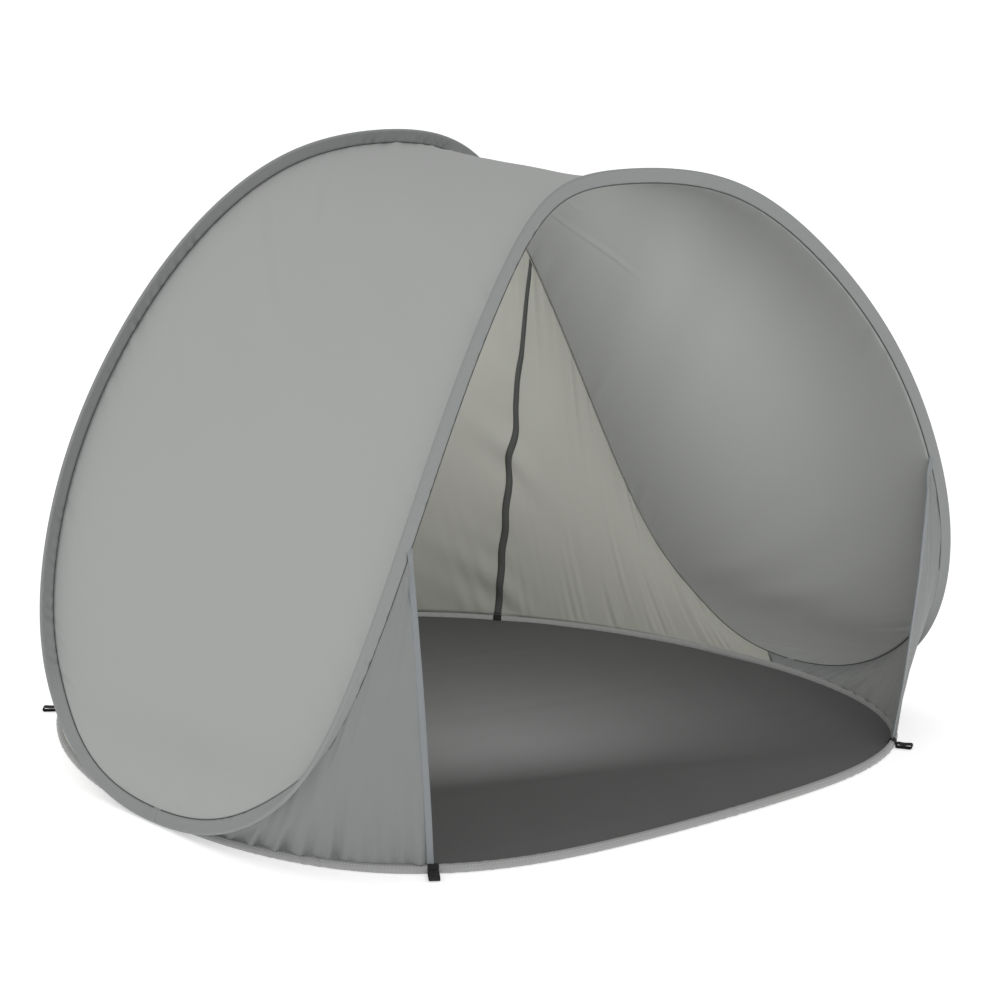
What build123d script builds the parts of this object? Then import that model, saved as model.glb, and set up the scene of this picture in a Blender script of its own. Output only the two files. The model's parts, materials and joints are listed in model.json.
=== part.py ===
"""Pop-up beach tent: a saddle-bent spring hoop stands on a flat floor hoop, with cloth sewn between.

Frame: millimetres, +X to the tent's left-right, -Y out of the doorway, +Z up, and the origin on the
ground under the centre of the whole tent. The fold line is a line along X through the two low ends
of the canopy hoop.
"""
import math
import os

from build123d import *

# ---- driving dimensions (mm) -------------------------------------------------------------------
FOLD_Y = -226.0            # fold line, through both low ends of the canopy hoop
LOW_END_X = 816.0          # half the distance between the low ends
WIRE_R = 1.7               # spring-steel hoop wire
SLEEVE_R = 6.0             # cloth sleeve round the wire, outside
SLEEVE_WALL = 1.6
CLOTH = 2.0                # panel thickness
SEAM_CLEAR = 10.0          # from the wire's centre line to a panel's sewn edge
FOLD_GAP = 2.9             # from the fold line to the pieces on each side of it
HOOP_RUNS = 56             # straight runs in each half of a hoop
GROUND_Z = SLEEVE_R        # height of the floor hoop's wire

# crest-to-ground points of the canopy hoop, right-hand side (x, y, z)
FRONT_ARCH = [
    (0, -561, 1158), (222, -611, 1128), (402, -683, 995), (544, -733, 812),
    (653, -750, 603), (733, -726, 385), (783, -631, 178), (808, -441, 46),
]
REAR_ARCH = [
    (0, 169, 1188), (212, 194, 1152), (392, 244, 1025), (539, 282, 840),
    (658, 292, 632), (749, 262, 411), (806, 171, 200), (821, -4, 46),
]
LOW_END = (LOW_END_X, FOLD_Y, GROUND_Z)

# floor hoop, right-hand side (x, y)
FLOOR_SIDE_X = 797.0
FLOOR_FRONT = [(0, -838), (232, -831), (445, -796), (632, -691), (746, -506)]
FLOOR_REAR = [(0, 838), (216, 799), (408, 691), (563, 535), (680, 348), (757, 142)]

# where the panels start and stop, as a fraction of each half hoop from its left-hand low end
CANOPY_START = 0.032
SIDE_START = 0.070         # back panels and wings, on the canopy hoop
SIDE_START_FLOOR = 0.075   # and on the floor hoop
WING_TOP = 0.245           # free edge of a wing, on the front arch
WING_FOOT = 0.245          # and on the front of the floor hoop
TAPE_TOP = 0.336           # seam tape, on the rear arch
TAPE_FOOT = 0.264          # and on the back of the floor hoop
TAPE_WIDTH = 18.0
TAPE_THICK = 1.0
TAPE_STAND_OFF = 5.0       # clear space between a tape and the cloth it backs
HEM_WIDTH = 12.0
HEM_THICK = 3.2
HEM_SPACING = 1.5          # wing edge to hem centre, in hem widths
STRIP_END_CLEAR = 7.0      # further than a panel from the hoops, because strips end square
REAR_PEG = 0.264           # rear peg loops stand at the seam tapes
PANEL_STATIONS = 16

# peg loops of folded webbing
LOOP_WIDTH = 20.0
LOOP_LENGTH = 34.0
LOOP_R = 5.0               # outside radius of the folded ends
WEBBING = 1.4
LOOP_CLEAR = 0.8           # between a loop and the floor sleeve

# ferrules that join the ends of each hoop's wire
FERRULE_R = 3.6
FERRULE_BORE = 2.5
FERRULE_LENGTH = 34.0
HOOP_FERRULE_AT = 0.472
FLOOR_FERRULE_AT = 0.62

os.makedirs("parts", exist_ok=True)


# ---- curves --------------------------------------------------------------------------------------
def half_loop(this_half, other_half, end):
    """Half of a closed, smooth hoop: from its left-hand low end over this half to the right-hand one."""
    this_right = [Vector(*p) for p in this_half] + [Vector(*end)]
    other_right = [Vector(*p) for p in other_half]
    this_left = [Vector(-p.X, p.Y, p.Z) for p in reversed(this_right[1:])]
    other_left = [Vector(-p.X, p.Y, p.Z) for p in other_right[1:]]
    hoop = Edge.make_spline(
        this_left + this_right + list(reversed(other_right)) + other_left, periodic=True
    )
    return hoop.trim(0.0, Vector(*end))


front_arch = half_loop(FRONT_ARCH, REAR_ARCH, LOW_END)
rear_arch = half_loop(REAR_ARCH, FRONT_ARCH, LOW_END)
front_points = [(x, y, GROUND_Z) for x, y in FLOOR_FRONT]
rear_points = [(x, y, GROUND_Z) for x, y in FLOOR_REAR]
floor_end = (FLOOR_SIDE_X, FOLD_Y, GROUND_Z)
floor_front = half_loop(front_points, rear_points, floor_end)
floor_rear = half_loop(rear_points, front_points, floor_end)


def bent_path(curve, gap):
    """Straight runs along a curve with a tangent arc at each corner, cut short by gap at both ends."""
    first = gap / curve.length
    points = [curve @ (first + (1 - 2 * first) * i / HOOP_RUNS) for i in range(HOOP_RUNS + 1)]
    runs = [points[i + 1] - points[i] for i in range(HOOP_RUNS)]
    radii = []
    for before, after in zip(runs, runs[1:]):
        half_turn = math.radians(before.get_angle(after)) / 2
        radii.append(0.45 * min(before.length, after.length) / math.tan(half_turn))
    return FilletPolyline(*points, radius=radii, mode=Mode.PRIVATE)


def tube_along(path, outside, inside=0.0):
    """A round bar, or a tube if it has an inside radius, swept along a path."""
    start = Plane(origin=path @ 0, z_dir=path % 0)
    with BuildPart() as tube:
        with BuildSketch(start):
            Circle(outside)
            if inside:
                Circle(inside, mode=Mode.SUBTRACT)
        sweep(path=path)
    return tube


def sewn_points(edge_a, edge_b, t_a, t_b):
    """One thread of a panel: both ends stop SEAM_CLEAR short of the wires it hangs between."""
    a, b = edge_a @ t_a, edge_b @ t_b
    thread = (b - a).normalized()
    inset_a = SEAM_CLEAR / math.sin(math.radians(thread.get_angle(edge_a % t_a)))
    inset_b = SEAM_CLEAR / math.sin(math.radians(thread.get_angle(edge_b % t_b)))
    return a + thread * inset_a, b - thread * inset_b


def panel_between(edge_a, edge_b, range_a, range_b):
    """A sheet of cloth stretched between two hoops, lofted through threads laid side by side."""
    threads = []
    for i in range(PANEL_STATIONS + 1):
        part = i / PANEL_STATIONS
        t_a = range_a[0] + (range_a[1] - range_a[0]) * part
        t_b = range_b[0] + (range_b[1] - range_b[0]) * part
        threads.append(sewn_points(edge_a, edge_b, t_a, t_b))
    with BuildPart() as panel:
        for i, (end_a, end_b) in enumerate(threads):
            before, after = threads[max(i - 1, 0)], threads[min(i + 1, PANEL_STATIONS)]
            thread = end_b - end_a
            sideways = (after[0] - before[0]).normalized() + (after[1] - before[1]).normalized()
            across = thread.normalized()
            sideways = sideways - across * sideways.dot(across)
            with BuildSketch(Plane(origin=(end_a + end_b) / 2, x_dir=across, z_dir=sideways)):
                Rectangle(thread.length, CLOTH)
        loft()
    return panel


def mirrored(name):
    """The same piece on the other side of the tent."""
    with BuildPart() as other:
        add(name.part.mirror(Plane.YZ))
    return other


def write(name, label):
    """Label one finished piece and write its STEP file."""
    name.part.label = label
    export_step(name.part, f"parts/{label}.step")
    print(label, len(name.part.solids()), round(name.part.volume))


# ---- hoops and their sleeves -------------------------------------------------------------------------
HALVES = {
    "canopy_hoop_front": front_arch,
    "canopy_hoop_rear": rear_arch,
    "floor_hoop_front": floor_front,
    "floor_hoop_rear": floor_rear,
}
paths = {label: bent_path(curve, FOLD_GAP) for label, curve in HALVES.items()}
for label, path in paths.items():
    write(tube_along(path, WIRE_R), label)
    write(tube_along(path, SLEEVE_R, SLEEVE_R - SLEEVE_WALL), label.replace("hoop", "sleeve"))


def ferrule_on(path, where):
    """A crimped tube over the wire's two ends."""
    with BuildPart() as ferrule:
        with BuildSketch(Plane(origin=path @ where, z_dir=path % where)):
            Circle(FERRULE_R)
            Circle(FERRULE_BORE, mode=Mode.SUBTRACT)
        extrude(amount=FERRULE_LENGTH / 2, both=True)
        outer_rims = ferrule.edges().filter_by(GeomType.CIRCLE).group_by(SortBy.RADIUS)[-1]
        chamfer(outer_rims, length=0.4)
    return ferrule


write(ferrule_on(paths["canopy_hoop_rear"], HOOP_FERRULE_AT), "canopy_hoop_ferrule")
write(ferrule_on(paths["floor_hoop_rear"], FLOOR_FERRULE_AT), "floor_hoop_ferrule")

# ---- canopy and back ----------------------------------------------------------------------------------
canopy_range = (CANOPY_START, 1 - CANOPY_START)
write(panel_between(front_arch, rear_arch, canopy_range, canopy_range), "canopy_panel")

SEAM_GAP = 0.00015         # between neighbouring panels, as a fraction of the hoop
back_centre = panel_between(
    rear_arch, floor_rear,
    (TAPE_TOP + SEAM_GAP, 1 - TAPE_TOP - SEAM_GAP), (TAPE_FOOT + SEAM_GAP, 1 - TAPE_FOOT - SEAM_GAP),
)
write(back_centre, "back_panel_centre")
back_left = panel_between(
    rear_arch, floor_rear,
    (SIDE_START, TAPE_TOP - SEAM_GAP), (SIDE_START_FLOOR, TAPE_FOOT - SEAM_GAP),
)
write(back_left, "back_panel_left")
write(mirrored(back_left), "back_panel_right")


def strip_on_panel(edge_a, edge_b, t_a, t_b, width, thickness, lift):
    """A flat strip along one thread of a panel, lifted off the cloth towards the tent's inside."""
    low, high = sewn_points(edge_b, edge_a, t_b, t_a)
    along = (high - low).normalized()
    low, high = low + along * STRIP_END_CLEAR, high - along * STRIP_END_CLEAR
    across = (edge_a % t_a + edge_b % t_b).normalized()
    across = (across - along * across.dot(along)).normalized()
    inward = along.cross(across)
    middle = (low + high) / 2
    if inward.dot(Vector(0, FOLD_Y, middle.Z) - middle) < 0:
        inward = inward * -1
    with BuildPart() as strip:
        with BuildSketch(Plane(origin=low + inward * lift, x_dir=across, z_dir=along)):
            Rectangle(width, thickness)
        extrude(amount=(high - low).length)
    return strip


TAPE_LIFT = CLOTH / 2 + TAPE_THICK / 2 + TAPE_STAND_OFF
tape_left = strip_on_panel(
    rear_arch, floor_rear, TAPE_TOP, TAPE_FOOT, TAPE_WIDTH, TAPE_THICK, TAPE_LIFT
)
write(tape_left, "back_tape_left")
write(mirrored(tape_left), "back_tape_right")

# ---- wings beside the doorway ---------------------------------------------------------------------------
hem_arch = HEM_SPACING * HEM_WIDTH / front_arch.length
hem_floor = HEM_SPACING * HEM_WIDTH / floor_front.length
wing_left = panel_between(
    front_arch, floor_front,
    (SIDE_START, WING_TOP - hem_arch), (SIDE_START_FLOOR, WING_FOOT - hem_floor),
)
write(wing_left, "wing_left")
write(mirrored(wing_left), "wing_right")
hem_left = strip_on_panel(
    front_arch, floor_front, WING_TOP, WING_FOOT, HEM_WIDTH, HEM_THICK, 0.0
)
write(hem_left, "wing_hem_left")
write(mirrored(hem_left), "wing_hem_right")


# ---- floor sheet ------------------------------------------------------------------------------------------
def floor_half(curve):
    """One half of the floor sheet, its edge SEAM_CLEAR inside the floor hoop's wire."""
    count = 2 * PANEL_STATIONS
    edge_points = []
    for i in range(count + 1):
        point, along = curve @ (i / count), curve % (i / count)
        inward = Vector(-along.Y, along.X, 0).normalized()
        if inward.dot(Vector(0, FOLD_Y, point.Z) - point) < 0:
            inward = inward * -1
        inner = point + inward * SEAM_CLEAR
        edge_points.append((inner.X, inner.Y))
    with BuildPart() as half:
        with BuildSketch():
            with BuildLine():
                outline = Spline(*edge_points)
                Line(outline @ 1, outline @ 0)
            make_face()
            with Locations((0, FOLD_Y)):
                Rectangle(3 * LOW_END_X, 2 * FOLD_GAP, mode=Mode.SUBTRACT)
        extrude(amount=CLOTH)
    return half


write(floor_half(floor_front), "floor_sheet_front")
write(floor_half(floor_rear), "floor_sheet_rear")


# ---- peg loops ----------------------------------------------------------------------------------------------
def peg_loop(curve, where):
    """A flattened loop of webbing that lies on the ground outside the floor hoop."""
    point, along = curve @ where, (curve % where).normalized()
    outward = Vector(along.Y, -along.X, 0)
    if outward.dot(point - Vector(0, FOLD_Y, point.Z)) < 0:
        outward = outward * -1
    hinge = Vector(point.X, point.Y, LOOP_R) + outward * (SLEEVE_R + LOOP_CLEAR + LOOP_R)
    middle = hinge + outward * (LOOP_LENGTH / 2 - LOOP_R)
    section = Plane(origin=middle, x_dir=outward, z_dir=along)
    with BuildPart() as loop:
        with BuildSketch(section):
            SlotOverall(LOOP_LENGTH, 2 * LOOP_R)
            SlotOverall(LOOP_LENGTH - 2 * WEBBING, 2 * (LOOP_R - WEBBING), mode=Mode.SUBTRACT)
        extrude(amount=LOOP_WIDTH / 2, both=True)
    print("peg loop hinge", hinge, "axis", along, "middle", middle)
    return loop


front_loop = peg_loop(floor_front, WING_FOOT)
write(front_loop, "peg_loop_front_left")
write(mirrored(front_loop), "peg_loop_front_right")
rear_loop = peg_loop(floor_rear, REAR_PEG)
write(rear_loop, "peg_loop_rear_left")
write(mirrored(rear_loop), "peg_loop_rear_right")
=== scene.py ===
"""Pop-up beach tent: cloth, hoops, seams and webbing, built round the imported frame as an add-on."""
import json
import math

import bmesh
import bpy
import numpy as np
from mathutils import Matrix, Vector


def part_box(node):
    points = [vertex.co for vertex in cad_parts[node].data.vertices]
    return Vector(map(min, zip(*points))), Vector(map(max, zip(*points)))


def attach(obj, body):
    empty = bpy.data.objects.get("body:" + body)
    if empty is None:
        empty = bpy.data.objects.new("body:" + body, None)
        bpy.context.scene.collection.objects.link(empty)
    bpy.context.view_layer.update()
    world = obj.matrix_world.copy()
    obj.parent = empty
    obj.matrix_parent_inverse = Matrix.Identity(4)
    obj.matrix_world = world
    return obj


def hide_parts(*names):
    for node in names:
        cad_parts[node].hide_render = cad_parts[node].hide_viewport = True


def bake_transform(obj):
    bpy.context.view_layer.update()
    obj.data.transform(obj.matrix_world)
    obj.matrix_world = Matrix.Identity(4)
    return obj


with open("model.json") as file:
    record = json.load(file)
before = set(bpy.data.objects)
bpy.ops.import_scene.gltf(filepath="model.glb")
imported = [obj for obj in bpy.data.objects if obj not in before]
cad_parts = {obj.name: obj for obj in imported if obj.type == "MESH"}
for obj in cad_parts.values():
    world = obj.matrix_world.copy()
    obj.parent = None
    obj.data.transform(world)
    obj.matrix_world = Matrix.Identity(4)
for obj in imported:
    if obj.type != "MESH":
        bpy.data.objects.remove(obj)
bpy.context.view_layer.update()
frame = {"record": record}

bl_info = {
    "name": "Pop-up Beach Tent",
    "version": (1, 0, 0),
    "blender": (4, 5, 0),
    "location": "View3D > Sidebar > Tent",
    "description": "Makes the cloth, hoops, seams and peg loops of a pop-up beach tent",
    "category": "Add Mesh",
}

REAR, FRONT = "rear_half", "front_half"
FOLD_Y = next(j["pos_m"][1] for j in frame["record"]["behaviour"]["joints"] if j["name"] == "front_fold")

# the hoops' wires, right-hand side, crest to ground (metres)
FRONT_ARCH = [
    (0, -.561, 1.158), (.222, -.611, 1.128), (.402, -.683, .995), (.544, -.733, .812),
    (.653, -.750, .603), (.733, -.726, .385), (.783, -.631, .178), (.808, -.441, .046),
]
REAR_ARCH = [
    (0, .169, 1.188), (.212, .194, 1.152), (.392, .244, 1.025), (.539, .282, .840),
    (.658, .292, .632), (.749, .262, .411), (.806, .171, .200), (.821, -.004, .046),
]
RING_Z = 0.0078
LOW_END = (.816, FOLD_Y, .0075)
FLOOR_FRONT = [(0, -.838), (.232, -.831), (.445, -.796), (.632, -.691), (.746, -.506)]
FLOOR_REAR = [(0, .838), (.216, .799), (.408, .691), (.563, .535), (.680, .348), (.757, .142)]
FLOOR_END = (.797, FOLD_Y, RING_Z)

FLANGE_HALF_THICK = 0.0016      # of the flat sewn sleeve round the canopy hoop
RIM_RADIUS = 0.0042              # of its outer edge, round the wire
WING_TOP, WING_FOOT = 0.245, 0.245       # free edge of a wing, as fractions of the two half hoops
TAPE_TOP, TAPE_FOOT = 0.336, 0.264       # seam tape of the back, likewise


# ---- curves --------------------------------------------------------------------------------------
def closed_spline(points, per_span=60):
    """Points along a smooth closed curve through the given ones."""
    p = np.array(points, float)
    n = len(p)
    h = np.linalg.norm(np.roll(p, -1, 0) - p, axis=1)
    before = np.roll(h, 1)
    slope = (np.roll(p, -1, 0) - p) / h[:, None]
    a = np.zeros((n, n))
    for i in range(n):
        a[i, i - 1], a[i, i], a[i, (i + 1) % n] = before[i], 2 * (before[i] + h[i]), h[i]
    m = np.linalg.solve(a, 6 * (slope - np.roll(slope, 1, 0)))
    line = []
    for i in range(n):
        j = (i + 1) % n
        t = np.linspace(0, h[i], per_span, endpoint=False)[:, None]
        line.append(
            (m[i] * (h[i] - t) ** 3 + m[j] * t ** 3) / (6 * h[i])
            + (p[i] / h[i] - m[i] * h[i] / 6) * (h[i] - t)
            + (p[j] / h[i] - m[j] * h[i] / 6) * t
        )
    return np.concatenate(line)


class HalfHoop:
    """Half of a closed hoop, from the left-hand low end over the crest to the right-hand one."""

    def __init__(self, this_half, other_half, end):
        right = [tuple(p) for p in this_half] + [tuple(end)]
        left = [(-x, y, z) for x, y, z in reversed(right[1:])]
        other_left = [(-x, y, z) for x, y, z in other_half[1:]]
        line = closed_spline(left + right + list(reversed(other_half)) + other_left)
        last = (len(left) + len(right) - 1) * 60
        self.line = line[: last + 1]
        steps = np.linalg.norm(np.diff(self.line, axis=0), axis=1)
        self.run = np.r_[0, np.cumsum(steps)]
        self.length = self.run[-1]

    def at(self, t):
        s = np.asarray(t, float) * self.length
        return np.stack([np.interp(s, self.run, self.line[:, k]) for k in range(3)], -1)

    def along(self, t):
        step = 0.004
        t = np.asarray(t, float)
        d = self.at(np.clip(t + step, 0, 1)) - self.at(np.clip(t - step, 0, 1))
        return d / np.linalg.norm(d, axis=-1, keepdims=True)


front_arch = HalfHoop(FRONT_ARCH, REAR_ARCH, LOW_END)
rear_arch = HalfHoop(REAR_ARCH, FRONT_ARCH, LOW_END)
ring_front_points = [(x, y, RING_Z) for x, y in FLOOR_FRONT]
ring_rear_points = [(x, y, RING_Z) for x, y in FLOOR_REAR]
ring_front = HalfHoop(ring_front_points, ring_rear_points, FLOOR_END)
ring_rear = HalfHoop(ring_rear_points, ring_front_points, FLOOR_END)


def unit(v):
    return v / np.maximum(np.linalg.norm(v, axis=-1, keepdims=True), 1e-9)


def inward(hoop, t):
    """Unit vectors across the hoop that point into the tent."""
    p, tangent = hoop.at(t), hoop.along(t)
    side = np.clip((p[..., 2] - 0.02) / 0.42, 0, 1)
    side = 0.12 + 0.88 * side * side * (3 - 2 * side)
    to_middle = np.stack([-p[..., 0] * side, np.zeros_like(side), 0.46 - p[..., 2]], -1)
    to_middle -= (to_middle * tangent).sum(-1, keepdims=True) * tangent
    return unit(to_middle)


def sewn_line(hoop, t, width):
    """Where the canopy is sewn to the sleeve, one flange's width inside the wire."""
    return hoop.at(t) + width * inward(hoop, t)


# ---- wrinkles ------------------------------------------------------------------------------------
def ripple(s, seed, shortest, longest, count=7):
    """A smooth random line of about unit height along a length in metres."""
    rng = np.random.RandomState(seed)
    waves = np.exp(rng.uniform(math.log(shortest), math.log(longest), count))
    phases = rng.uniform(0, 2 * math.pi, count)
    height = sum(np.sin(2 * math.pi * s / w + p) for w, p in zip(waves, phases))
    return height / math.sqrt(count / 2)


def pull_folds(s, d, seed, reach, slant, shortest, longest):
    """Folds that start at a seam, lean along it and fade into the cloth. s is along, d away from it."""
    fade = np.exp(-d / reach)
    strong = 0.5 + 0.5 * np.tanh(ripple(s, seed + 50, 0.15, 0.9, 4))
    return ripple(s + slant * d, seed, shortest, longest) * fade * strong


def crease(s, d, start, end, width, height):
    """One soft ridge from start to end, both as (s, d)."""
    a, b = np.array(start, float), np.array(end, float)
    ab = b - a
    t = ((s - a[0]) * ab[0] + (d - a[1]) * ab[1]) / (ab @ ab)
    off = ((s - a[0]) * ab[1] - (d - a[1]) * ab[0]) / np.linalg.norm(ab)
    ends = np.clip(t * 4, 0, 1) * np.clip((1 - t) * 4, 0, 1)
    ridge = np.exp(-(off / width) ** 2) - 0.45 * np.exp(-(off / width / 2.2) ** 2)
    return height * ends * ends * (3 - 2 * ends) * ridge


# ---- mesh helpers --------------------------------------------------------------------------------
def mesh_piece(name, vertices, faces, uv=None, smooth=True):
    mesh = bpy.data.meshes.new(name)
    mesh.from_pydata([tuple(map(float, v)) for v in vertices], [], faces)
    mesh.validate()
    if uv is not None:
        layer = mesh.uv_layers.new(name="cloth")
        for loop in mesh.loops:
            layer.data[loop.index].uv = uv[loop.vertex_index]
    if smooth:
        mesh.polygons.foreach_set("use_smooth", [True] * len(mesh.polygons))
    piece = bpy.data.objects.new(name, mesh)
    bpy.context.scene.collection.objects.link(piece)
    return piece


def cloth_piece(name, grid, thickness):
    """A piece of cloth from a grid of points, with its own thickness and a map in metres."""
    rows, columns = grid.shape[:2]
    faces = []
    for i in range(rows - 1):
        for j in range(columns - 1):
            k = j + 1
            faces.append((i * columns + j, i * columns + k, (i + 1) * columns + k, (i + 1) * columns + j))
    middle = grid[:, columns // 2]
    u = np.r_[0, np.cumsum(np.linalg.norm(np.diff(middle, axis=0), axis=1))]
    across = np.linalg.norm(np.diff(grid, axis=1), axis=2)
    v = np.concatenate([np.zeros((rows, 1)), np.cumsum(across, axis=1)], axis=1)
    v = v - v[:, columns // 2][:, None]
    uv = [(float(u[i]), float(v[i, j])) for i in range(rows) for j in range(columns)]
    piece = mesh_piece(name, grid.reshape(-1, 3), faces, uv)
    if thickness:
        shell = piece.modifiers.new("cloth", "SOLIDIFY")
        shell.thickness = thickness
        shell.offset = 0.0
        apply_modifiers(piece)
    return piece


def apply_modifiers(piece):
    bpy.context.view_layer.update()
    made = bpy.data.meshes.new_from_object(piece.evaluated_get(bpy.context.evaluated_depsgraph_get()))
    piece.modifiers.clear()
    piece.data = made
    made.polygons.foreach_set("use_smooth", [True] * len(made.polygons))


def tube_piece(name, centre, side, up, profile, closed_path=False):
    """A profile of (side, up) offsets swept along a path with its own frame at each point.

    profile is an array (rows, corners, 2), or (corners, 2) for the same outline all along.
    """
    rows = len(centre)
    profile = np.broadcast_to(profile, (rows,) + profile.shape[-2:])
    grid = centre[:, None] + profile[..., 0:1] * side[:, None] + profile[..., 1:2] * up[:, None]
    corners = grid.shape[1]
    faces = []
    for i in range(rows if closed_path else rows - 1):
        n = (i + 1) % rows
        for j in range(corners):
            k = (j + 1) % corners
            faces.append((i * corners + j, i * corners + k, n * corners + k, n * corners + j))
    if not closed_path:
        faces.append(tuple(reversed(range(corners))))
        faces.append(tuple((rows - 1) * corners + j for j in range(corners)))
    u = np.r_[0, np.cumsum(np.linalg.norm(np.diff(centre, axis=0), axis=1))]
    outline = profile[0]
    v = np.r_[0, np.cumsum(np.linalg.norm(np.diff(outline, axis=0), axis=1))]
    uv = [(float(u[i]), float(v[j])) for i in range(rows) for j in range(corners)]
    piece = mesh_piece(name, grid.reshape(-1, 3), faces, uv)
    face_outwards(piece)
    return piece


def face_outwards(piece):
    bm = bmesh.new()
    bm.from_mesh(piece.data)
    bmesh.ops.recalc_face_normals(bm, faces=bm.faces)
    bm.to_mesh(piece.data)
    bm.free()


def ellipse(half_wide, half_high, corners=16):
    a = np.linspace(0, 2 * math.pi, corners, endpoint=False)
    return np.stack([half_wide * np.cos(a), half_high * np.sin(a)], 1)


def finish_piece(piece, material, nodes, body=None):
    """Give a piece its cloth, hide the frame parts it replaces, and bake its transform into the mesh or let
    it ride one body.
    """
    piece.data.materials.clear()
    piece.data.materials.append(material)
    if nodes:
        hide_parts(*nodes)
    if body is None:
        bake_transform(piece)
    else:
        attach(piece, body)


# ---- shader node groups --------------------------------------------------------------------------
def new_group(name, inputs, outputs):
    group = bpy.data.node_groups.new(name, "ShaderNodeTree")
    for label, kind, value in inputs:
        socket = group.interface.new_socket(name=label, in_out="INPUT", socket_type=kind)
        if value is not None:
            socket.default_value = value
    for label, kind in outputs:
        group.interface.new_socket(name=label, in_out="OUTPUT", socket_type=kind)
    return group, group.nodes.new("NodeGroupInput"), group.nodes.new("NodeGroupOutput")


def math_node(tree, operation, a, b=None, c=None):
    node = tree.nodes.new("ShaderNodeMath")
    node.operation = operation
    for socket, value in zip(node.inputs, (a, b, c)):
        if value is None:
            continue
        if isinstance(value, (int, float)):
            socket.default_value = value
        else:
            tree.links.new(value, socket)
    return node.outputs[0]


def weave_group():
    """Plain weave: warp and weft threads that pass over and under, as a height and a mask of the gaps between
    them for painted shade.
    """
    group, start, end = new_group(
        "plain_weave",
        [("Threads per m", "NodeSocketFloat", 1100.0), ("Unevenness", "NodeSocketFloat", 0.3)],
        [("Height", "NodeSocketFloat"), ("Gap painted shade", "NodeSocketFloat")],
    )
    link = group.links.new
    uv = group.nodes.new("ShaderNodeUVMap")
    uv.uv_map = "cloth"
    wobble = group.nodes.new("ShaderNodeTexNoise")
    wobble.inputs["Scale"].default_value = 60.0
    link(uv.outputs[0], wobble.inputs["Vector"])
    parts = group.nodes.new("ShaderNodeSeparateXYZ")
    link(uv.outputs[0], parts.inputs[0])
    shift = math_node(group, "MULTIPLY", wobble.outputs[0], start.outputs["Unevenness"])
    waves = []
    for axis in (0, 1):
        count = math_node(group, "MULTIPLY", parts.outputs[axis], start.outputs["Threads per m"])
        moved = math_node(group, "ADD", count, shift)
        waves.append(math_node(group, "SINE", math_node(group, "MULTIPLY", moved, math.pi)))
    over = math_node(group, "MULTIPLY", waves[0], waves[1])
    round_a = math_node(group, "ABSOLUTE", waves[0])
    round_b = math_node(group, "ABSOLUTE", waves[1])
    crossing = math_node(group, "MULTIPLY", over, 0.35)
    height = math_node(group, "ADD", crossing, math_node(group, "MULTIPLY", round_a, 0.5))
    height = math_node(group, "ADD", height, math_node(group, "MULTIPLY", round_b, 0.5))
    # the gaps between the threads, which later darken the colour as painted shade
    gap = math_node(group, "SUBTRACT", 1.0, math_node(group, "MAXIMUM", round_a, round_b))
    link(height, end.inputs["Height"])
    link(gap, end.inputs["Gap painted shade"])
    return group


def tone_group():
    """Slow light and dark in a cloth, random tone that partly stands in for painted shade of its folds, with
    faint streaks along its threads.
    """
    group, start, end = new_group(
        "cloth_tone_and_painted_fold_shade",
        [("Colour", "NodeSocketColor", (.4, .4, .4, 1)), ("Streaks", "NodeSocketFloat", 0.03),
         ("Clouds", "NodeSocketFloat", 0.05)],
        [("Colour", "NodeSocketColor"), ("Value", "NodeSocketFloat")],
    )
    link = group.links.new
    place = group.nodes.new("ShaderNodeTexCoord")
    clouds = group.nodes.new("ShaderNodeTexNoise")
    clouds.inputs["Scale"].default_value = 3.2
    clouds.inputs["Detail"].default_value = 3.0
    link(place.outputs["Object"], clouds.inputs["Vector"])
    uv = group.nodes.new("ShaderNodeUVMap")
    uv.uv_map = "cloth"
    stretch = group.nodes.new("ShaderNodeMapping")
    stretch.inputs["Scale"].default_value = (4.0, 320.0, 1.0)
    link(uv.outputs[0], stretch.inputs["Vector"])
    streaks = group.nodes.new("ShaderNodeTexNoise")
    streaks.inputs["Scale"].default_value = 1.0
    link(stretch.outputs[0], streaks.inputs["Vector"])
    # the slow clouds: random tone that partly stands in for painted shade of the cloth's folds
    cloud = math_node(group, "SUBTRACT", clouds.outputs[0], 0.5)
    streak = math_node(group, "SUBTRACT", streaks.outputs[0], 0.5)
    cloud = math_node(group, "MULTIPLY", cloud, start.outputs["Clouds"])
    streak = math_node(group, "MULTIPLY", streak, start.outputs["Streaks"])
    value = math_node(group, "ADD", math_node(group, "ADD", cloud, streak), 1.0)
    shade = group.nodes.new("ShaderNodeVectorMath")
    shade.operation = "SCALE"
    link(start.outputs["Colour"], shade.inputs[0])
    link(value, shade.inputs["Scale"])
    link(shade.outputs[0], end.inputs["Colour"])
    link(value, end.inputs["Value"])
    return group


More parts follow.
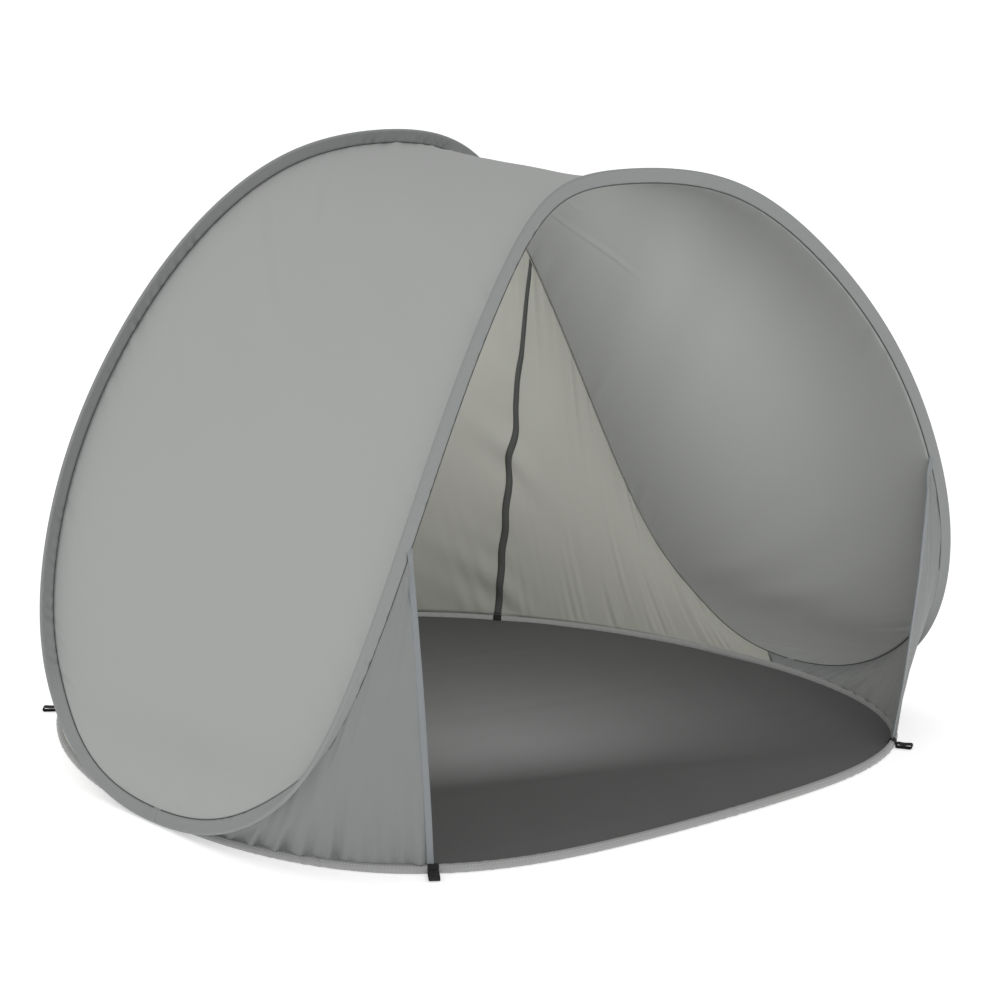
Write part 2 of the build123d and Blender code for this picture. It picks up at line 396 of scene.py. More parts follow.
def crinkle_group():
    """Fine creases left by folding and packing, as a height."""
    group, start, end = new_group(
        "packing_creases", [("Scale", "NodeSocketFloat", 5.0)], [("Height", "NodeSocketFloat")]
    )
    link = group.links.new
    place = group.nodes.new("ShaderNodeTexCoord")
    bend = group.nodes.new("ShaderNodeTexNoise")
    bend.inputs["Scale"].default_value = 2.0
    link(place.outputs["Object"], bend.inputs["Vector"])
    mix = group.nodes.new("ShaderNodeVectorMath")
    mix.operation = "MULTIPLY_ADD"
    mix.inputs[1].default_value = (.6, .6, .6)
    link(bend.outputs["Color"], mix.inputs[0])
    link(place.outputs["Object"], mix.inputs[2])
    cells = group.nodes.new("ShaderNodeTexVoronoi")
    cells.feature = "SMOOTH_F1"
    link(mix.outputs[0], cells.inputs["Vector"])
    link(start.outputs["Scale"], cells.inputs["Scale"])
    fine = group.nodes.new("ShaderNodeTexNoise")
    fine.inputs["Scale"].default_value = 14.0
    fine.inputs["Detail"].default_value = 4.0
    link(mix.outputs[0], fine.inputs["Vector"])
    fine_part = math_node(group, "MULTIPLY", fine.outputs[0], 0.25)
    height = math_node(group, "ADD", cells.outputs["Distance"], fine_part)
    link(height, end.inputs["Height"])
    return group


def cloth_material(name, colour, threads, roughness, sheen, crinkle, streaks=0.03, clouds=0.05,
                   weave=0.00003, glow=0.0):
    """Woven cloth: a tone that drifts and partly stands in for painted fold shade, painted shade in the
    weave's gaps, thread relief and faint creases.

    glow is the share of the light that the cloth lets through.
    """
    material = bpy.data.materials.new(name)
    material.use_nodes = True
    tree = material.node_tree
    shader = tree.nodes["Principled BSDF"]
    link = tree.links.new
    weave_node = tree.nodes.new("ShaderNodeGroup")
    weave_node.node_tree = bpy.data.node_groups["plain_weave"]
    weave_node.inputs["Threads per m"].default_value = threads
    tone = tree.nodes.new("ShaderNodeGroup")
    tone.node_tree = bpy.data.node_groups["cloth_tone_and_painted_fold_shade"]
    tone.inputs["Colour"].default_value = (*colour, 1)
    tone.inputs["Streaks"].default_value = streaks
    tone.inputs["Clouds"].default_value = clouds
    dark = tree.nodes.new("ShaderNodeVectorMath")
    dark.operation = "SCALE"
    link(tone.outputs["Colour"], dark.inputs[0])
    # painted shade: the base colour is up to 12 % darker in the gaps between threads
    gap = math_node(tree, "MULTIPLY", weave_node.outputs["Gap painted shade"], 0.12)
    link(math_node(tree, "SUBTRACT", 1.0, gap), dark.inputs["Scale"])
    link(dark.outputs[0], shader.inputs["Base Color"])
    rough = math_node(tree, "MULTIPLY_ADD", tone.outputs["Value"], 0.3, roughness - 0.3)
    link(rough, shader.inputs["Roughness"])
    creases = tree.nodes.new("ShaderNodeGroup")
    creases.node_tree = bpy.data.node_groups["packing_creases"]
    height = math_node(tree, "MULTIPLY", weave_node.outputs["Height"], weave)
    height = math_node(tree, "MULTIPLY_ADD", creases.outputs["Height"], crinkle, height)
    bump = tree.nodes.new("ShaderNodeBump")
    bump.inputs["Distance"].default_value = 1.0
    bump.inputs["Strength"].default_value = 1.0
    link(height, bump.inputs["Height"])
    link(bump.outputs[0], shader.inputs["Normal"])
    shader.inputs["Sheen Weight"].default_value = sheen
    shader.inputs["Sheen Roughness"].default_value = 0.5
    shader.inputs["Specular IOR Level"].default_value = 0.35
    if glow:
        through = tree.nodes.new("ShaderNodeBsdfTranslucent")
        through.inputs["Color"].default_value = (0.90, 0.90, 0.87, 1)
        link(bump.outputs[0], through.inputs["Normal"])
        mix = tree.nodes.new("ShaderNodeMixShader")
        mix.inputs[0].default_value = glow
        link(shader.outputs[0], mix.inputs[1])
        link(through.outputs[0], mix.inputs[2])
        link(mix.outputs[0], tree.nodes["Material Output"].inputs["Surface"])
    return material


def metal_material(name, colour, roughness):
    material = bpy.data.materials.new(name)
    material.use_nodes = True
    tree = material.node_tree
    shader = tree.nodes["Principled BSDF"]
    place = tree.nodes.new("ShaderNodeTexCoord")
    grain = tree.nodes.new("ShaderNodeTexNoise")
    grain.inputs["Scale"].default_value = 900.0
    tree.links.new(place.outputs["Object"], grain.inputs["Vector"])
    tree.links.new(
        math_node(tree, "MULTIPLY_ADD", grain.outputs[0], 0.2, roughness - 0.1), shader.inputs["Roughness"]
    )
    shader.inputs["Base Color"].default_value = (*colour, 1)
    shader.inputs["Metallic"].default_value = 1.0
    return material


# ---- settings ------------------------------------------------------------------------------------
def colour_setting(name, default):
    return bpy.props.FloatVectorProperty(
        name=name, description=f"Base colour of the {name.lower()}", subtype="COLOR",
        min=0, max=1, default=default,
    )


class TentCloth(bpy.types.PropertyGroup):
    """Colours of the tent's cloths."""
    canopy: colour_setting("Canopy cloth", (.40, .408, .395))
    back: colour_setting("Back cloth", (.55, .55, .50))
    wing: colour_setting("Wing cloth", (.26, .268, .268))
    floor: colour_setting("Floor cloth", (.066, .069, .071))
    # the sleeves are light grey like the canopy; their darker base colour here is painted shade on the sleeve
    # bands
    sleeve: colour_setting("Sleeve cloth with painted shade", (.20, .205, .205))
    ring: colour_setting("Floor sleeve cloth", (.33, .335, .33))
    tape: colour_setting("Seam tape", (.075, .08, .075))
    hem: colour_setting("Hem", (.22, .235, .245))
    webbing: colour_setting("Peg webbing", (.012, .012, .013))
    thread: colour_setting("Thread", (.75, .75, .74))


class TentSizes(bpy.types.PropertyGroup):
    """Sizes of the sewn details."""
    flange: bpy.props.FloatProperty(
        name="Sleeve width", description="From the canopy seam to the hoop's wire",
        default=0.024, min=0.01, max=0.05, unit="LENGTH")
    wire: bpy.props.FloatProperty(
        name="Wire radius", description="Radius of the spring wire", default=0.0017,
        min=0.001, max=0.004, unit="LENGTH")
    cloth: bpy.props.FloatProperty(
        name="Cloth thickness", description="Thickness given to each panel", default=0.0009,
        min=0.0002, max=0.003, unit="LENGTH")
    sag: bpy.props.FloatProperty(
        name="Canopy sag", description="How far the canopy dips between the arches",
        default=0.016, min=0, max=0.08, unit="LENGTH")
    tape: bpy.props.FloatProperty(
        name="Tape width", description="Width of the back's seam tape", default=0.017,
        min=0.005, max=0.05, unit="LENGTH")
    hem: bpy.props.FloatProperty(
        name="Hem width", description="Width of the wings' folded hem", default=0.011,
        min=0.004, max=0.03, unit="LENGTH")


def sizes():
    return bpy.context.scene.tent_sizes


def cloth(name):
    return bpy.data.materials[name]


# ---- operators -----------------------------------------------------------------------------------
class TENT_OT_materials(bpy.types.Operator):
    """Make the shared effects and the materials"""
    bl_idname = "tent.materials"
    bl_label = "Materials"

    def execute(self, context):
        weave_group()
        tone_group()
        crinkle_group()
        c = context.scene.tent_cloth
        cloth_material("canopy_cloth", c.canopy, 1500, 0.62, 0.10, 0.0012, glow=0.50)
        cloth_material("back_cloth", c.back, 1500, 0.70, 0.10, 0.0016, clouds=0.06, glow=0.50)
        cloth_material("wing_cloth", c.wing, 1500, 0.64, 0.10, 0.0014, glow=0.22)
        cloth_material("floor_cloth", c.floor, 1100, 0.55, 0.08, 0.0012, streaks=0.06, clouds=0.10)
        # sleeve colour darker than the canopy's light grey: painted shade on the sleeve bands
        cloth_material("sleeve_cloth", c.sleeve, 1300, 0.72, 0.15, 0.0010)
        cloth_material("ring_cloth", c.ring, 1300, 0.68, 0.15, 0.0008)
        cloth_material("seam_tape", c.tape, 900, 0.78, 0.2, 0.0004, weave=0.00008)
        cloth_material("hem_cloth", c.hem, 1300, 0.66, 0.15, 0.0006)
        cloth_material("peg_webbing", c.webbing, 700, 0.62, 0.25, 0.0002, weave=0.00022)
        cloth_material("sewing_thread", c.thread, 3000, 0.6, 0.2, 0.0)
        metal_material("spring_steel", (.50, .51, .52), 0.35)
        metal_material("crimped_steel", (.62, .62, .63), 0.30)
        return {"FINISHED"}


class TENT_OT_canopy(bpy.types.Operator):
    """One sheet from the front arch to the rear arch, down to both low ends"""
    bl_idname = "tent.canopy"
    bl_label = "Canopy"

    def execute(self, context):
        width, rows, columns = sizes().flange, 420, 110
        t = np.linspace(0.004, 0.996, rows)
        v = np.linspace(0, 1, columns)
        a, b = sewn_line(front_arch, t, width), sewn_line(rear_arch, t, width)
        grid = a[:, None] * (1 - v)[None, :, None] + b[:, None] * v[None, :, None]
        span = np.linalg.norm(b - a, axis=1)[:, None]
        s = (t * front_arch.length)[:, None] + 0 * v[None]
        from_front, from_rear = span * v[None], span * (1 - v[None])
        into = unit(inward(front_arch, t) + inward(rear_arch, t))
        dip = sizes().sag * 4 * v * (1 - v) * np.clip(span, 0, 1)
        ground = s[-1, 0] / 2 - np.abs(s - s[-1, 0] / 2)
        fold = (
            0.0014 * pull_folds(s, from_rear, 3, 0.11, 0.9, 0.025, 0.11)
            + 0.0013 * pull_folds(s, from_front, 8, 0.07, -0.7, 0.022, 0.10)
            + 0.0018 * ripple(s + 0.5 * from_front, 21, 0.5, 1.4, 5) * np.clip(4 * v * (1 - v), 0, 1)
            + 0.0009 * ripple(s - 0.9 * from_front, 33, 0.16, 0.5, 6) * np.clip(4 * v * (1 - v), 0, 1)
        )
        crest = front_arch.length / 2
        for side in (-1, 1):
            place = crest + side * (s - crest)
            fold = fold + crease(place, from_rear, (crest - .30, .02), (crest - .62, .42), .010, .005)
            fold = fold + crease(place, from_rear, (crest - .12, .01), (crest - .42, .33), .009, .004)
            fold = fold + crease(place, from_front, (.20, .03), (.10, .30), .012, .003)
            fold = fold + crease(place, from_front, (.32, .02), (.16, .42), .013, .003)
        edge = np.minimum(from_front, from_rear)
        fold = fold * np.clip(edge / 0.012, 0, 1) * np.clip(ground / 0.05, 0, 1)
        grid = grid + (dip + fold)[..., None] * into[:, None]
        canopy = cloth_piece("canopy", grid, sizes().cloth)
        finish_piece(canopy, cloth("canopy_cloth"), ["canopy_panel"])
        return {"FINISHED"}


def flange_outline(rows, width, rim_radius):
    """A flat sewn sleeve's outline: a narrow seam, flat cloth, then round over the wire. (out, across)."""
    a = np.linspace(-0.62 * math.pi, 0.62 * math.pi, 11)
    rim = np.stack([rim_radius * np.cos(a), rim_radius * np.sin(a)], 1)
    upper = [(-0.45 * width, 1.0), (-0.75 * width, 0.8), (-1.0 * width, 0.55)]
    lower = [(x, -y) for x, y in reversed(upper)]
    flat = [(x, y * FLANGE_HALF_THICK) for x, y in upper + lower]
    outline = np.array([*rim, *flat])
    return np.repeat(outline[None], rows, 0)


class TENT_OT_canopy_sleeves(bpy.types.Operator):
    """The flat sleeves sewn round the canopy hoop, with the wire in their outer edge"""
    bl_idname = "tent.canopy_sleeves"
    bl_label = "Canopy sleeves"

    def execute(self, context):
        width = sizes().flange
        for hoop, name, node, seed, pucker in (
            (front_arch, "canopy_sleeve_front_cloth", "canopy_sleeve_front", 5, 0.0007),
            (rear_arch, "canopy_sleeve_rear_cloth", "canopy_sleeve_rear", 9, 0.0016),
        ):
            rows = 1100
            t = np.linspace(0, 1, rows)
            out = -inward(hoop, t)
            across = unit(np.cross(hoop.along(t), out))
            outline = flange_outline(rows, width, RIM_RADIUS)
            depth = -outline[..., 0]
            s = (t * hoop.length)[:, None]
            lean = ripple(s + 1.1 * depth, seed, 0.018, 0.045, 6)
            strong = 0.45 + 0.55 * np.tanh(1.5 * ripple(s, seed + 1, 0.25, 1.1, 4))
            wave = pucker * lean * strong * np.clip(depth / 0.006, 0, 1)
            wave = wave * np.clip((width * 1.02 - depth) / 0.006, 0.25, 1)
            outline[..., 1] += wave
            sleeve = tube_piece(name, hoop.at(t), out, across, outline)
            finish_piece(sleeve, cloth("sleeve_cloth"), [node])
        return {"FINISHED"}


class TENT_OT_hoop_wires(bpy.types.Operator):
    """The spring wires inside the sleeves and the ferrules that close them"""
    bl_idname = "tent.hoop_wires"
    bl_label = "Hoop wires"

    def execute(self, context):
        radius, gap = sizes().wire, 0.0006
        for hoop, node in (
            (front_arch, "canopy_hoop_front"), (rear_arch, "canopy_hoop_rear"),
            (ring_front, "floor_hoop_front"), (ring_rear, "floor_hoop_rear"),
        ):
            t = np.linspace(gap, 1 - gap, 500)
            out = -inward(hoop, t)
            across = unit(np.cross(hoop.along(t), out))
            name = node.replace("hoop", "wire")
            wire = tube_piece(name, hoop.at(t), out, across, ellipse(radius, radius, 10))
            finish_piece(wire, cloth("spring_steel"), [node])
        for hoop, where, node in (
            (rear_arch, 0.472, "canopy_hoop_ferrule"), (ring_rear, 0.62, "floor_hoop_ferrule"),
        ):
            half = 0.017 / hoop.length
            t = np.linspace(where - half, where + half, 24)
            out = -inward(hoop, t)
            across = unit(np.cross(hoop.along(t), out))
            crimp = 1 - 0.12 * (np.abs(np.abs(np.linspace(-1, 1, 24)) - 0.5) < 0.12)
            outline = ellipse(0.0031, 0.0031, 16)[None] * crimp[:, None, None]
            ferrule = tube_piece(node.replace("_hoop", ""), hoop.at(t), out, across, outline)
            finish_piece(ferrule, cloth("crimped_steel"), [node], body=REAR)
        return {"FINISHED"}


def ring_top(hoop, t):
    """Along the top inner edge of the floor sleeve, where the walls are sewn on."""
    return hoop.at(t) + np.array([0, 0, 0.0075]) + 0.002 * inward_flat(hoop, t)


def inward_flat(hoop, t):
    """Unit vectors level with the ground that point into the tent, across the floor hoop."""
    p, tangent = hoop.at(t), hoop.along(t)
    side = np.stack([-tangent[..., 1], tangent[..., 0], 0 * tangent[..., 0]], -1)
    to_middle = np.array([0, FOLD_Y + 0.2, 0]) - p
    flip = np.sign((side * to_middle).sum(-1, keepdims=True))
    return unit(side * flip)


def back_threads(t):
    """Both ends of the back wall's threads: on the rear arch and on the floor hoop."""
    foot = np.interp(t, [0, TAPE_TOP, 0.5, 1 - TAPE_TOP, 1], [0, TAPE_FOOT, 0.5, 1 - TAPE_FOOT, 1])
    return sewn_line(rear_arch, t, sizes().flange * 0.96), ring_top(ring_rear, foot)


def back_surface(t, v, lift=0.0):
    """The back wall, from the rear arch (v = 0) to the floor hoop (v = 1)."""
    top, foot = back_threads(t)
    grid = top[:, None] * (1 - v)[None, :, None] + foot[:, None] * v[None, :, None]
    height = np.linalg.norm(top - foot, axis=1)[:, None]
    wall_in = np.stack([-top[:, 0] - foot[:, 0], -0.9 + 0 * top[:, 0], 0.25 + 0 * top[:, 0]], -1)
    thread = unit(top - foot)
    wall_in = unit(wall_in - (wall_in * thread).sum(-1, keepdims=True) * thread)
    s = (t * rear_arch.length)[:, None] + 0 * v[None]
    down, up = height * v[None], height * (1 - v[None])
    belly = 0.020 * np.sin(math.pi * v)[None] * np.clip(height, 0, 1)
    left_seam = np.abs(s - TAPE_TOP * rear_arch.length)
    right_seam = np.abs(s - (1 - TAPE_TOP) * rear_arch.length)
    seam = np.minimum(left_seam, right_seam)
    fold = (
        0.0016 * pull_folds(s, up, 41, 0.16, 0.4, 0.03, 0.13)
        + 0.0016 * pull_folds(s, down, 47, 0.13, -0.5, 0.03, 0.12)
        + 0.0028 * ripple(s + 0.45 * down, 51, 0.22, 0.7, 6) * np.sin(math.pi * v)[None]
        + 0.0025 * ripple(down + 0.3 * s, 57, 0.08, 0.3, 6) * np.exp(-seam / 0.09)
    )
    fold = fold * np.clip(np.minimum(up, down) / 0.010, 0, 1) * np.clip(height / 0.25, 0, 1)
    return grid + (belly + fold + lift)[..., None] * wall_in[:, None]


class TENT_OT_back(bpy.types.Operator):
    """The back wall: a centre panel, two side panels and the tape over each seam"""
    bl_idname = "tent.back"
    bl_label = "Back wall"

    def execute(self, context):
        v = np.linspace(0, 1, 90)
        gap = 0.00012
        for name, node, start, end, rows, flat, area in (
            ("back_centre", "back_panel_centre", TAPE_TOP + gap, 1 - TAPE_TOP - gap, 190, (1.72, 1.45), 1.45),
            ("back_left", "back_panel_left", 0.02, TAPE_TOP - gap, 130, (1.18, 0.60), 0.235),
            ("back_right", "back_panel_right", 1 - TAPE_TOP + gap, 0.98, 130, (1.18, 0.60), 0.235),
        ):
            panel = cloth_piece(name, back_surface(np.linspace(start, end, rows), v), sizes().cloth)
            finish_piece(panel, cloth("back_cloth"), [node])
        for side, where in (("left", TAPE_TOP), ("right", 1 - TAPE_TOP)):
            rows = 160
            down = np.linspace(0.006, 0.994, rows)
            wander = 0.0022 * ripple(down, 63, 0.12, 0.5, 5) * np.sin(math.pi * down)
            half = sizes().tape / 2
            near = where + np.array([-1, 0, 1]) * 0.002
            surface = back_surface(near, down, lift=0.0019)
            across = unit(surface[2] - surface[0])
            centre = surface[1] + across * wander[:, None]
            face = unit(np.cross(across, unit(np.gradient(centre, axis=0))))
            outline = np.array([
                (-half, -.0006), (half, -.0006), (half, .0001),
                (half * .8, .0006), (-half * .8, .0006), (-half, .0001),
            ])
            tape = tube_piece(f"back_tape_{side}_cloth", centre, across, face, outline)
            finish_piece(tape, cloth("seam_tape"), [f"back_tape_{side}"])
        return {"FINISHED"}


def wing_surface(t, v):
    """The left wing, from the front arch (v = 0) to the floor hoop (v = 1)."""
    foot = t * WING_FOOT / WING_TOP
    top = sewn_line(front_arch, t, sizes().flange * 0.9)
    low = ring_top(ring_front, foot)
    grid = top[:, None] * (1 - v)[None, :, None] + low[:, None] * v[None, :, None]
    height = np.linalg.norm(top - low, axis=1)[:, None]
    thread = unit(top - low)
    side = np.stack([np.gradient(top[:, k] + low[:, k]) for k in range(3)], -1)
    out = unit(np.cross(thread, side))
    s = (foot * ring_front.length)[:, None] + 0 * v[None]
    down, up = height * v[None], height * (1 - v[None])
    gather = (
        0.0024 * ripple(s, 71, 0.022, 0.060, 7) * np.exp(-up / 0.075)
        + 0.0020 * ripple(s + 0.25 * up, 75, 0.05, 0.16, 6) * np.exp(-up / 0.22)
        + 0.0014 * pull_folds(s, down, 79, 0.10, 0.6, 0.03, 0.10)
        + 0.0018 * ripple(s - 0.3 * up, 83, 0.10, 0.30, 6) * np.sin(math.pi * v)[None]
    )
    hollow = -0.012 * np.sin(math.pi * v)[None] * np.clip(height / 0.4, 0, 1)
    gather = gather * np.clip(up / 0.004, 0.12, 1) * np.clip(down / 0.008, 0, 1)
    gather = gather * np.clip(height / 0.12, 0, 1)
    return grid + (gather + hollow)[..., None] * out[:, None]


class TENT_OT_wings(bpy.types.Operator):
    """The gathered wings beside the doorway and the hems on their free edges"""
    bl_idname = "tent.wings"
    bl_label = "Wings"

    def execute(self, context):
        mirror = np.array([-1, 1, 1])
        for side, flip in (("left", np.ones(3)), ("right", mirror)):
            rows = 230
            t = np.linspace(0.022, WING_TOP, rows)
            grid = wing_surface(t, np.linspace(0, 1, 130)) * flip
            wing = cloth_piece(f"wing_{side}_cloth", grid, sizes().cloth)
            finish_piece(wing, cloth("wing_cloth"), [f"wing_{side}"])
            edge = grid[-1]
            inner = grid[-8]
            across = unit(edge - inner)
            run = unit(np.gradient(edge, axis=0))
            across = unit(across - (across * run).sum(-1, keepdims=True) * run)
            face = unit(np.cross(run, across))
            w = sizes().hem
            outline = np.array([
                (0.0012, 0.0), (0.0004, .0017), (-w * .3, .0014), (-w * .9, .0013), (-w, .0006),
                (-w, -.0006), (-w * .9, -.0013), (-w * .3, -.0014), (0.0004, -.0017),
            ])
            hem = tube_piece(f"wing_hem_{side}_cloth", edge, across, face, outline)
            finish_piece(hem, cloth("hem_cloth"), [f"wing_hem_{side}"])
        return {"FINISHED"}


class TENT_OT_floor(bpy.types.Operator):
    """The floor sheet, its sleeve with the wire, and the thread along its seam"""
    bl_idname = "tent.floor"
    bl_label = "Floor"

    def execute(self, context):
        t = np.linspace(0, 0.5, 700)
        edge_front = ring_front.at(t) + 0.0055 * inward_flat(ring_front, t)
        edge_rear = ring_rear.at(t) + 0.0055 * inward_flat(ring_rear, t)
        left = np.concatenate([edge_front[::-1], edge_rear[1:]])
        rows, columns = 190, 150
        a = np.linspace(0.012, math.pi - 0.012, rows)
        y_lo, y_hi = left[0, 1], left[-1, 1]
        y = y_lo + (y_hi - y_lo) * (1 - np.cos(a)) / 2
        half = -np.interp(y, left[:, 1], left[:, 0])
        x = half[:, None] * np.sin(np.linspace(-1, 1, columns) * math.pi / 2)[None]
        yy = np.repeat(y[:, None], columns, 1)
        rim = np.clip(np.minimum(half[:, None] - np.abs(x), np.minimum(yy - y_lo, y_hi - yy)) / 0.10, 0, 1)
        z = (
            0.0030 + 0.0022 * (0.5 + 0.5 * ripple(x * .8 + yy * .6, 91, .35, 1.2, 5))
            + 0.0007 * ripple(x - yy * .5, 95, .12, .45, 6) * (0.4 + 0.6 * rim)
            + 0.0003 * ripple(yy * 1.2 + x * .2, 97, .06, .2, 6) * rim
        )
        z = np.clip(z, 0.0012, 0.012)
        grid = np.stack([x, yy, z], -1)
        floor = cloth_piece("floor_sheet", grid, sizes().cloth)
        finish_piece(floor, cloth("floor_cloth"), ["floor_sheet_front", "floor_sheet_rear"])
        for hoop, node, seed in (
            (ring_front, "floor_sleeve_front", 101), (ring_rear, "floor_sleeve_rear", 105),
        ):
            rows = 900
            t = np.linspace(0, 1, rows)
            out = -inward_flat(hoop, t)
            up = np.repeat(np.array([[0, 0, 1.0]]), rows, 0)
            outline = np.repeat(np.array([
                (.0062, -.0030), (.0066, .0010), (.0052, .0050), (.0018, .0072), (-.0010, .0086),
                (-.0026, .0084), (-.0040, .0056), (-.0062, .0008), (-.0060, -.0042),
                (-.0030, -.0070), (.0030, -.0068),
            ])[None], rows, 0)
            s = (t * hoop.length)[:, None]
            strong = 0.5 + 0.5 * np.tanh(ripple(s, seed + 1, .2, .8, 4))
            pucker = ripple(s + outline[..., 1] * .8, seed, .014, .04, 6) * strong
            outline[..., 0] += 0.0006 * pucker
            outline[..., 1] += 0.0005 * pucker * (outline[..., 1] > 0)
            sleeve = tube_piece(f"{node}_cloth", hoop.at(t), out, up, outline)
            finish_piece(sleeve, cloth("ring_cloth"), [node])
        return {"FINISHED"}


def stitch_row(name, centre, out, pitch=0.0062, length=0.0040, radius=0.00045):
    """A row of thread stitches along a line, each a short rounded dash."""
    steps = np.r_[0, np.cumsum(np.linalg.norm(np.diff(centre, axis=0), axis=1))]
    count = int(steps[-1] / pitch)
    vertices, faces = [], []
    ring = ellipse(radius, radius * 0.8, 5)
    for i in range(count):
        here = (i + 0.5) * pitch
        ends = [here + k * length / 2 for k in (-1, -0.6, 0.6, 1)]
        p = np.stack([np.interp(ends, steps, centre[:, k]) for k in range(3)], -1)
        side = np.array([np.interp(here, steps, out[:, k]) for k in range(3)])
        up = np.cross(unit(p[-1] - p[0]), side)
        base = len(vertices)
        for q, scale in zip(p, (0.3, 1, 1, 0.3)):
            vertices += [q + scale * (a * side + b * up) for a, b in ring]
        n = len(ring)
        for j in range(3):
            for k in range(n):
                m = (k + 1) % n
                low, high = base + j * n, base + (j + 1) * n
                faces.append((low + k, low + m, high + m, high + k))
        faces.append(tuple(base + k for k in reversed(range(n))))
        faces.append(tuple(base + 3 * n + k for k in range(n)))
    piece = mesh_piece(name, vertices, faces, [(0, 0)] * len(vertices))
    face_outwards(piece)
    return piece


class TENT_OT_stitching(bpy.types.Operator):
    """Thread along the floor sleeve and the dark seams along the canopy"""
    bl_idname = "tent.stitching"
    bl_label = "Stitching"

    def execute(self, context):
        for hoop, name in ((ring_front, "floor_thread_front"), (ring_rear, "floor_thread_rear")):
            t = np.linspace(0.01, 0.99, 900)
            out = -inward_flat(hoop, t)
            line = hoop.at(t) + out * 0.0047 + np.array([0, 0, 0.0060])
            thread = stitch_row(name, line, out)
            finish_piece(thread, cloth("sewing_thread"), [])
        for hoop, name in ((front_arch, "canopy_seam_front"), (rear_arch, "canopy_seam_rear")):
            t = np.linspace(0.003, 0.997, 900)
            out = -inward(hoop, t)
            across = unit(np.cross(hoop.along(t), out))
            line = sewn_line(hoop, t, sizes().flange * 0.97)
            seam = tube_piece(name, line, out, across, ellipse(0.0013, 0.0017, 8))
            finish_piece(seam, cloth("seam_tape"), [])
        return {"FINISHED"}


class TENT_OT_peg_loops(bpy.types.Operator):
    """Folded webbing loops for the ground pegs, sewn at the wings' feet and at the back seams"""
    bl_idname = "tent.peg_loops"
    bl_label = "Peg loops"

    def execute(self, context):
        joints = {j["child"]: j for j in frame["record"]["behaviour"]["joints"]}
        for node in (
            "peg_loop_front_left", "peg_loop_front_right", "peg_loop_rear_left", "peg_loop_rear_right",
        ):
            joint = joints[node]
            hinge = np.array(joint["pos_m"])
            along = unit(np.array(joint["axis"], float))
            out = unit(np.cross(along, [0, 0, 1.0]))
            low, high = (np.array(c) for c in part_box(node))
            if ((low + high) / 2 - hinge) @ out < 0:
                out = -out
            up = np.array([0, 0, 1.0])
            reach, r, web = 0.0245, 0.0040, 0.0012
            a = np.linspace(math.pi / 2, 3 * math.pi / 2, 9)
            near = [(r * math.cos(x), r * math.sin(x)) for x in a]
            b = np.linspace(-math.pi / 2, math.pi / 2, 9)
            far = [(reach + r * 1.0 * math.cos(x), r * math.sin(x) - 0.0003) for x in b]
            bottom = [(reach * k, -r + 0.0002 * math.sin(6 * k)) for k in (0.25, 0.5, 0.75)]
            top = [(reach * k, r - 0.0012 * math.sin(math.pi * k)) for k in (0.75, 0.5, 0.25)]
            path = np.array(near + bottom + far + top)
            spots = hinge + path[:, :1] * out + path[:, 1:] * up
            n = len(path)
            tangent = unit(np.roll(path, -1, 0) - np.roll(path, 1, 0))
            normal2 = np.stack([tangent[:, 1], -tangent[:, 0]], 1)
            normal = normal2[:, :1] * out + normal2[:, 1:] * up
            w = 0.0098
            outline = np.array([(-w, -.2 * web), (-w * .93, -.5 * web), (w * .93, -.5 * web), (w, -.2 * web),
                                (w, .2 * web), (w * .93, .5 * web), (-w * .93, .5 * web), (-w, .2 * web)])
            side = np.repeat(along[None], n, 0)
            loop = tube_piece(f"{node}_webbing", spots, side, normal, outline, closed_path=True)
            finish_piece(loop, cloth("peg_webbing"), [node], body=node)
            centre = hinge - out * 0.0118
            centre[2] = RING_Z
            wrap_angles = np.linspace(math.radians(-8), math.radians(205), 22)
            wrap = np.stack([0.0079 * np.cos(wrap_angles), 0.0100 * np.sin(wrap_angles)], 1)
            wrap = np.concatenate([[(0.0079, -0.0045)], wrap])
            spots = centre + wrap[:, :1] * out + wrap[:, 1:] * up
            tangent = unit(np.gradient(wrap, axis=0))
            normal2 = np.stack([tangent[:, 1], -tangent[:, 0]], 1)
            normal = normal2[:, :1] * out + normal2[:, 1:] * up
            side = np.repeat(along[None], len(spots), 0)
            patch = tube_piece(f"{node}_tab", spots, side, normal, outline)
            finish_piece(patch, cloth("peg_webbing"), [])
        return {"FINISHED"}


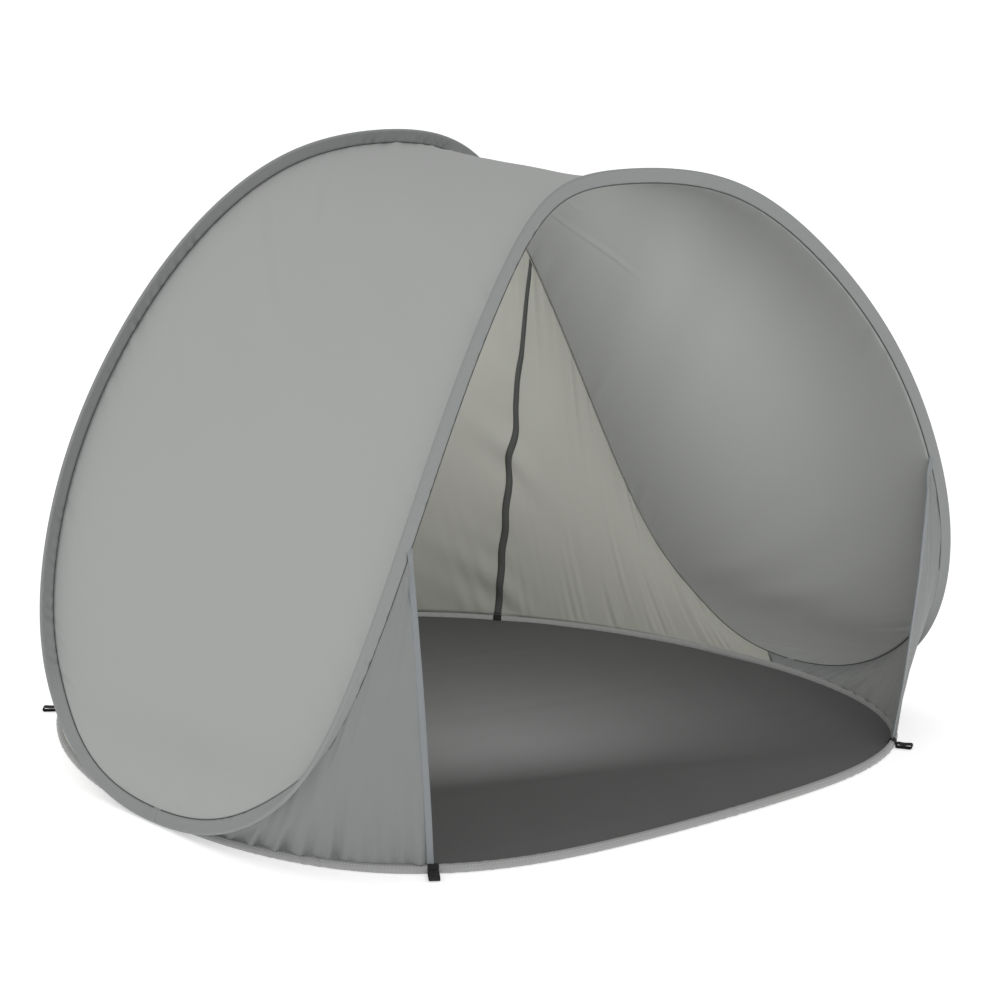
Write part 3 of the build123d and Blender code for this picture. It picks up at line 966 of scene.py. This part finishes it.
class TENT_OT_stage(bpy.types.Operator):
    """Pale floor, soft light and the camera"""
    bl_idname = "tent.stage"
    bl_label = "Stage"

    def execute(self, context):
        scene = context.scene
        size = 400.0
        vertices = [(-size, -size, 0), (size, -size, 0), (size, size, 0), (-size, size, 0)]
        floor = mesh_piece("stage_floor", np.array(vertices) - [0, 0, 0.0002], [(0, 1, 2, 3)], smooth=False)
        material = bpy.data.materials.new("stage_paper")
        material.use_nodes = True
        paper = material.node_tree.nodes["Principled BSDF"]
        paper.inputs["Base Color"].default_value = (0.94, 0.94, 0.94, 1)
        paper.inputs["Roughness"].default_value = 0.9
        paper.inputs["Emission Color"].default_value = (1, 1, 1, 1)
        paper.inputs["Emission Strength"].default_value = 0.42
        paper.inputs["Specular IOR Level"].default_value = 0.1
        floor.data.materials.append(material)
        world = bpy.data.worlds.new("studio")
        scene.world = world
        world.use_nodes = True
        world.node_tree.nodes["Background"].inputs["Color"].default_value = (1, 1, 1, 1)
        world.node_tree.nodes["Background"].inputs["Strength"].default_value = 0.72
        for name, place, target, power, wide in (
            ("key_light", (-2.6, 0.6, 4.4), (0, 0, 0.4), 25, 3.0),
            ("inside_light", (-0.12, -0.44, 0.48), (0.30, 0.6, 0.44), 5.2, 0.3),
            ("front_light", (-1.6, -4.2, 2.4), (0, 0, 0.5), 28, 3.0),
        ):
            data = bpy.data.lights.new(name, "AREA")
            data.energy, data.size = power, wide
            lamp = bpy.data.objects.new(name, data)
            lamp.visible_camera = False
            scene.collection.objects.link(lamp)
            lamp.location = place
            lamp.rotation_euler = (Vector(target) - Vector(place)).to_track_quat("-Z", "Y").to_euler()
        camera_data = bpy.data.cameras.new("camera")
        camera_data.lens = 94.95
        camera_data.sensor_width = 36.0
        camera = bpy.data.objects.new("camera", camera_data)
        scene.collection.objects.link(camera)
        yaw, pitch, roll = math.radians(39.265), math.radians(11.90), math.radians(-0.25)
        turn = (
            Matrix.Rotation(-yaw, 3, "Z") @ Matrix.Rotation(math.pi / 2 - pitch, 3, "X")
            @ Matrix.Rotation(-roll, 3, "Z")
        )
        camera.matrix_world = Matrix.Translation((-3.175, -4.062, 1.557)) @ turn.to_4x4()
        scene.camera = camera
        scene.view_settings.view_transform = "Standard"
        return {"FINISHED"}


class TENT_PT_panel(bpy.types.Panel):
    """The tent's pieces, in the order in which they are made"""
    bl_label = "Pop-up Beach Tent"
    bl_space_type = "VIEW_3D"
    bl_region_type = "UI"
    bl_category = "Tent"

    def draw(self, context):
        for operator in PIECES:
            self.layout.operator(operator.bl_idname)
        for settings in (context.scene.tent_sizes, context.scene.tent_cloth):
            for name in settings.__annotations__:
                self.layout.prop(settings, name)


PIECES = (
    TENT_OT_materials, TENT_OT_stage, TENT_OT_canopy, TENT_OT_canopy_sleeves, TENT_OT_hoop_wires,
    TENT_OT_back, TENT_OT_wings, TENT_OT_floor, TENT_OT_stitching, TENT_OT_peg_loops,
)
CLASSES = (TentCloth, TentSizes) + PIECES + (TENT_PT_panel,)


def register():
    for cls in CLASSES:
        bpy.utils.register_class(cls)
    bpy.types.Scene.tent_cloth = bpy.props.PointerProperty(type=TentCloth)
    bpy.types.Scene.tent_sizes = bpy.props.PointerProperty(type=TentSizes)


def unregister():
    del bpy.types.Scene.tent_cloth
    del bpy.types.Scene.tent_sizes
    for cls in reversed(CLASSES):
        bpy.utils.unregister_class(cls)


def main():
    register()
    bpy.ops.tent.materials()
    bpy.ops.tent.stage()
    bpy.ops.tent.canopy()
    bpy.ops.tent.canopy_sleeves()
    bpy.ops.tent.hoop_wires()
    bpy.ops.tent.back()
    bpy.ops.tent.wings()
    bpy.ops.tent.floor()
    bpy.ops.tent.stitching()
    bpy.ops.tent.peg_loops()


if __name__ == "__main__":
    main()
